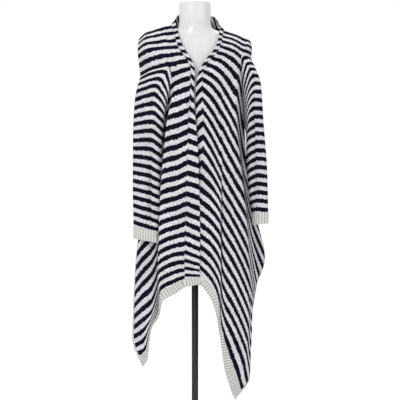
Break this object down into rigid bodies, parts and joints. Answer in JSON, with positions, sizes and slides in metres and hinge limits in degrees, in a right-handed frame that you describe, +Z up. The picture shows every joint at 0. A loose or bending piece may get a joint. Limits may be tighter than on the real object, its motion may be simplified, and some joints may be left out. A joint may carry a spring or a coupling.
{
  "type": "cardigan on a dress form and stand",
  "caption": "Open-front draped cardigan in striped knit with ribbed handkerchief hem points, on a limbless dress form with pole stand.",
  "frame": {"origin": "centre of the underside of the stand base, on the floor", "axes": "+Z up; the front of the garment faces -Y; +X to the viewer's right"},
  "size_m": [0.4852, 0.3, 1.547],
  "materials": {
    "striped_knit": "navy and off-white striped knit",
    "striped_band": "striped knit band",
    "ivory_rib": "ribbed knit",
    "gloss_white": "gloss",
    "black_stand": "satin black paint"
  },
  "bodies": {
    "root": {"back": "striped_knit", "front_left": "striped_knit", "front_right": "striped_knit", "sleeve_left": "striped_knit", "sleeve_right": "striped_knit", "band_front_left": "striped_band", "band_front_right": "striped_band", "band_neck": "striped_band", "cuff_left": "ivory_rib", "cuff_right": "ivory_rib", "hem_back": "ivory_rib", "hem_front_left": "ivory_rib", "hem_front_right": "ivory_rib", "edging_back_left": "ivory_rib", "edging_back_right": "ivory_rib", "edging_front_left": "ivory_rib", "edging_front_right": "ivory_rib", "form_torso": "gloss_white", "form_pole": "black_stand", "form_base": "black_stand"}
  },
  "joints": []
}
